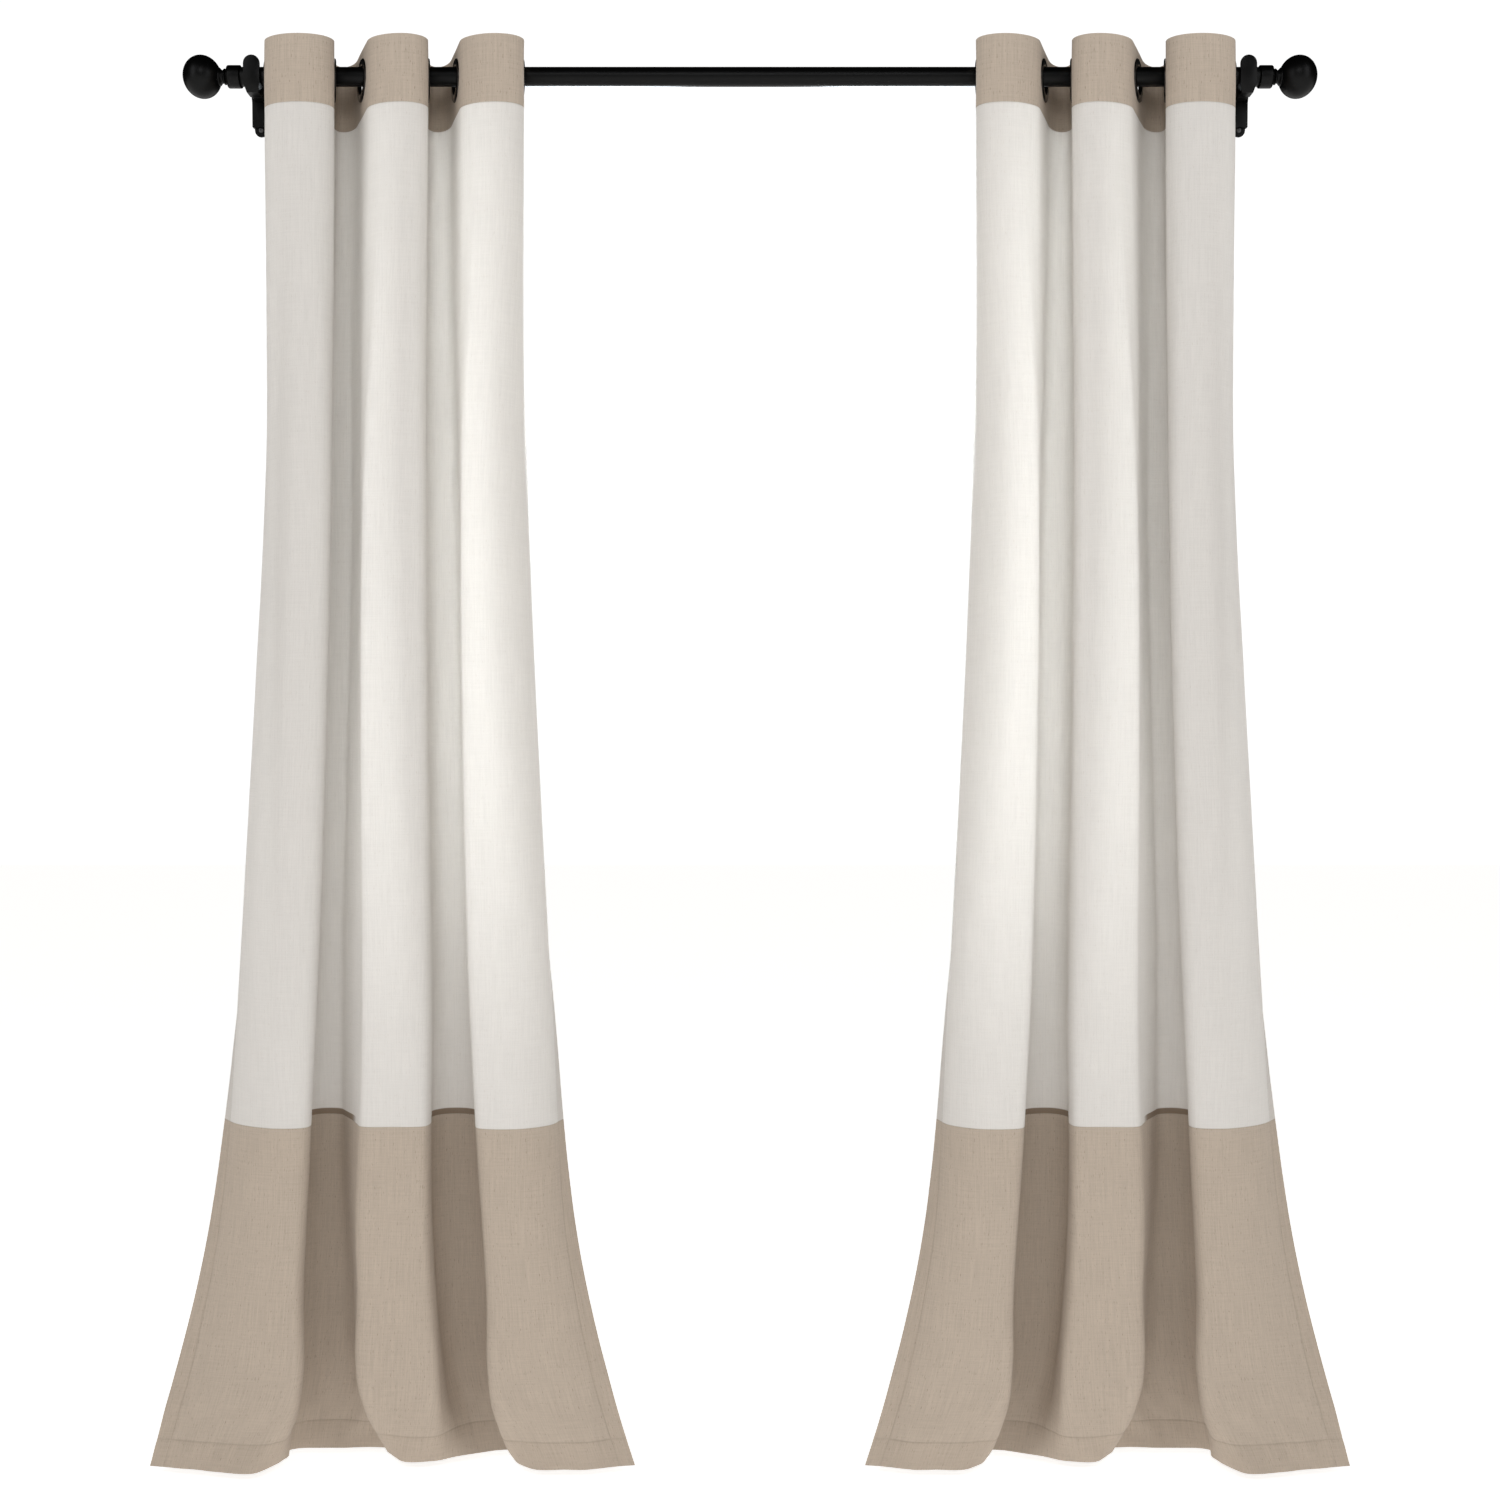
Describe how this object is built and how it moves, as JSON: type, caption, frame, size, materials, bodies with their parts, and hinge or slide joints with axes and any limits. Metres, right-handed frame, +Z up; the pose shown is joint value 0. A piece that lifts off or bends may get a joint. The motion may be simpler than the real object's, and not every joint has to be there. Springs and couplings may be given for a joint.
{
  "type": "window curtains on a rod",
  "caption": "Two grommet-top linen curtain panels, white with oatmeal top and bottom bands, on a black wall-mounted rod with ball finials and open-cradle brackets.",
  "frame": {"origin": "on the wall plane, midway between the two wall plates and level with the rod's axis", "axes": "+X along the rod to the viewer's right, +Y into the wall, +Z up"},
  "size_m": [1.7944, 0.192, 2.1341],
  "materials": {
    "black_metal": "satin",
    "screw_steel": "satin",
    "grommet": "gloss",
    "oatmeal_linen": "matte",
    "white_linen": "matte"
  },
  "bodies": {
    "brackets": {"left_wall_plate": "black_metal", "left_upper_wall_screw": "screw_steel", "left_lower_wall_screw": "screw_steel", "left_arm": "black_metal", "left_upright": "black_metal", "left_lock_screw": "screw_steel", "left_cradle": "black_metal", "right_wall_plate": "black_metal", "right_upper_wall_screw": "screw_steel", "right_lower_wall_screw": "screw_steel", "right_arm": "black_metal", "right_upright": "black_metal", "right_lock_screw": "screw_steel", "right_cradle": "black_metal"},
    "rod": {"rod_tube": "black_metal", "left_rod_plug": "black_metal", "right_rod_plug": "black_metal"},
    "left_finial": {"left_finial_ferrule": "black_metal", "left_finial_neck": "black_metal", "left_finial_ball": "black_metal", "left_finial_stud": "screw_steel"},
    "left_grommet_6": {"left_grommet_6_front": "grommet", "left_grommet_6_back": "grommet", "left_top_band": "oatmeal_linen", "left_middle": "white_linen", "left_bottom_band": "oatmeal_linen"},
    "left_grommet_5": {"left_grommet_5_front": "grommet", "left_grommet_5_back": "grommet"},
    "left_grommet_4": {"left_grommet_4_front": "grommet", "left_grommet_4_back": "grommet"},
    "left_grommet_3": {"left_grommet_3_front": "grommet", "left_grommet_3_back": "grommet"},
    "left_grommet_2": {"left_grommet_2_front": "grommet", "left_grommet_2_back": "grommet"},
    "left_grommet_1": {"left_grommet_1_front": "grommet", "left_grommet_1_back": "grommet"},
    "right_finial": {"right_finial_ferrule": "black_metal", "right_finial_neck": "black_metal", "right_finial_ball": "black_metal", "right_finial_stud": "screw_steel"},
    "right_grommet_6": {"right_grommet_6_front": "grommet", "right_grommet_6_back": "grommet", "right_top_band": "oatmeal_linen", "right_middle": "white_linen", "right_bottom_band": "oatmeal_linen"},
    "right_grommet_5": {"right_grommet_5_front": "grommet", "right_grommet_5_back": "grommet"},
    "right_grommet_4": {"right_grommet_4_front": "grommet", "right_grommet_4_back": "grommet"},
    "right_grommet_3": {"right_grommet_3_front": "grommet", "right_grommet_3_back": "grommet"},
    "right_grommet_2": {"right_grommet_2_front": "grommet", "right_grommet_2_back": "grommet"},
    "right_grommet_1": {"right_grommet_1_front": "grommet", "right_grommet_1_back": "grommet"}
  },
  "joints": [
    {"name": "rod_lift", "type": "slide", "parent": "brackets", "child": "rod", "axis": [0, 0, 1], "range_m": [0, 0.04]},
    {"name": "left_finial_turn", "type": "hinge", "parent": "rod", "child": "left_finial", "pos_m": [-0.7885, -0.09, 0], "axis": [-1, 0, 0], "continuous": true},
    {"name": "left_draw", "type": "slide", "parent": "rod", "child": "left_grommet_6", "axis": [1, 0, 0], "range_m": [-0.115, 0.332], "deforming": ["left_top_band", "left_middle", "left_bottom_band"]},
    {"name": "left_grommet_5_slide", "type": "slide", "parent": "left_grommet_6", "child": "left_grommet_5", "axis": [1, 0, 0], "range_m": [-0.054, 0.019]},
    {"name": "left_grommet_4_slide", "type": "slide", "parent": "left_grommet_5", "child": "left_grommet_4", "axis": [1, 0, 0], "range_m": [-0.087, 0.03]},
    {"name": "left_grommet_3_slide", "type": "slide", "parent": "left_grommet_4", "child": "left_grommet_3", "axis": [1, 0, 0], "range_m": [-0.054, 0.019]},
    {"name": "left_grommet_2_slide", "type": "slide", "parent": "left_grommet_3", "child": "left_grommet_2", "axis": [1, 0, 0], "range_m": [-0.087, 0.03]},
    {"name": "left_grommet_1_slide", "type": "slide", "parent": "left_grommet_2", "child": "left_grommet_1", "axis": [1, 0, 0], "range_m": [-0.054, 0.019]},
    {"name": "right_finial_turn", "type": "hinge", "parent": "rod", "child": "right_finial", "pos_m": [0.7885, -0.09, 0], "axis": [1, 0, 0], "continuous": true},
    {"name": "right_draw", "type": "slide", "parent": "rod", "child": "right_grommet_6", "axis": [-1, 0, 0], "range_m": [-0.115, 0.332], "deforming": ["right_top_band", "right_middle", "right_bottom_band"]},
    {"name": "right_grommet_5_slide", "type": "slide", "parent": "right_grommet_6", "child": "right_grommet_5", "axis": [-1, 0, 0], "range_m": [-0.054, 0.019]},
    {"name": "right_grommet_4_slide", "type": "slide", "parent": "right_grommet_5", "child": "right_grommet_4", "axis": [-1, 0, 0], "range_m": [-0.087, 0.03]},
    {"name": "right_grommet_3_slide", "type": "slide", "parent": "right_grommet_4", "child": "right_grommet_3", "axis": [-1, 0, 0], "range_m": [-0.054, 0.019]},
    {"name": "right_grommet_2_slide", "type": "slide", "parent": "right_grommet_3", "child": "right_grommet_2", "axis": [-1, 0, 0], "range_m": [-0.087, 0.03]},
    {"name": "right_grommet_1_slide", "type": "slide", "parent": "right_grommet_2", "child": "right_grommet_1", "axis": [-1, 0, 0], "range_m": [-0.054, 0.019]}
  ],
  "couplings": [
    {"joint": "left_grommet_5_slide", "follows": "left_draw", "ratio": -0.16},
    {"joint": "left_grommet_4_slide", "follows": "left_draw", "ratio": -0.26},
    {"joint": "left_grommet_3_slide", "follows": "left_draw", "ratio": -0.16},
    {"joint": "left_grommet_2_slide", "follows": "left_draw", "ratio": -0.26},
    {"joint": "left_grommet_1_slide", "follows": "left_draw", "ratio": -0.16},
    {"joint": "right_grommet_5_slide", "follows": "right_draw", "ratio": -0.16},
    {"joint": "right_grommet_4_slide", "follows": "right_draw", "ratio": -0.26},
    {"joint": "right_grommet_3_slide", "follows": "right_draw", "ratio": -0.16},
    {"joint": "right_grommet_2_slide", "follows": "right_draw", "ratio": -0.26},
    {"joint": "right_grommet_1_slide", "follows": "right_draw", "ratio": -0.16}
  ]
}
